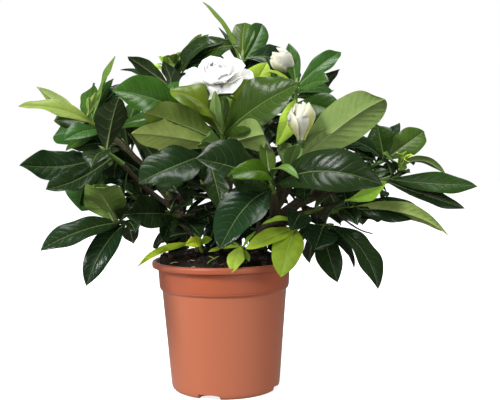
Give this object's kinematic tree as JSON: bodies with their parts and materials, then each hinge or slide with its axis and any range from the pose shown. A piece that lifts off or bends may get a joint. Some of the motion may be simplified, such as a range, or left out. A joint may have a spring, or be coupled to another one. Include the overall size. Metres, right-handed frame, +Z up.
{
  "type": "potted gardenia",
  "caption": "Potted gardenia shrub with glossy dark leaves, an open white double bloom and half-open buds, standing in a plain plastic nursery pot with soil.",
  "frame": {"origin": "middle of the pot's underside, on the surface that the pot stands on", "axes": "+Z up; -Y towards the viewer of the front; +X to the right as seen from the front, along the crown's widest reach"},
  "size_m": [0.4272, 0.3536, 0.377],
  "materials": {
    "pot_plastic": "satin",
    "potting_soil": "matte",
    "bark": "matte",
    "dark_leaf": "gloss",
    "mid_leaf": "gloss",
    "olive_leaf": "satin",
    "young_leaf": "satin",
    "petal": "matte",
    "bud_petal": "matte"
  },
  "bodies": {
    "root": {"pot": "pot_plastic", "soil": "potting_soil", "stem_mid": "bark", "stem_left": "bark", "stem_right": "bark", "bloom": "petal", "bud_front": "bud_petal", "bud_back": "bud_petal", "shoot_bloom": "olive_leaf", "shoot_front": "dark_leaf", "shoot_bud": "olive_leaf", "shoot_low_front": "young_leaf", "shoot_left_low": "dark_leaf", "shoot_left_mid": "dark_leaf", "shoot_left_high": "mid_leaf", "shoot_left_high_tip": "young_leaf", "shoot_inner_left": "dark_leaf", "shoot_gloss": "mid_leaf", "shoot_lower_left": "dark_leaf", "shoot_top": "mid_leaf", "shoot_top_left": "dark_leaf", "shoot_top_left_tip": "young_leaf", "shoot_right_top": "mid_leaf", "shoot_right_end": "dark_leaf", "shoot_right_end_tip": "young_leaf", "shoot_right_back": "dark_leaf", "shoot_right_low": "dark_leaf", "shoot_right_mid": "dark_leaf", "sprout_front": "young_leaf", "sprout_left": "young_leaf", "inner_left_high": "dark_leaf", "inner_left": "dark_leaf", "inner_left_low": "dark_leaf", "inner_low": "dark_leaf", "inner_mid": "dark_leaf", "inner_right": "dark_leaf", "inner_right_mid": "dark_leaf", "inner_right_low": "dark_leaf", "inner_right_end": "dark_leaf", "rear_left_low": "dark_leaf", "rear_left_mid": "dark_leaf", "rear_left_high": "dark_leaf", "rear_mid_low": "dark_leaf", "rear_mid_high": "dark_leaf", "rear_top": "dark_leaf", "rear_right_low": "dark_leaf", "rear_right_mid": "dark_leaf", "rear_right_high": "dark_leaf"}
  },
  "joints": []
}
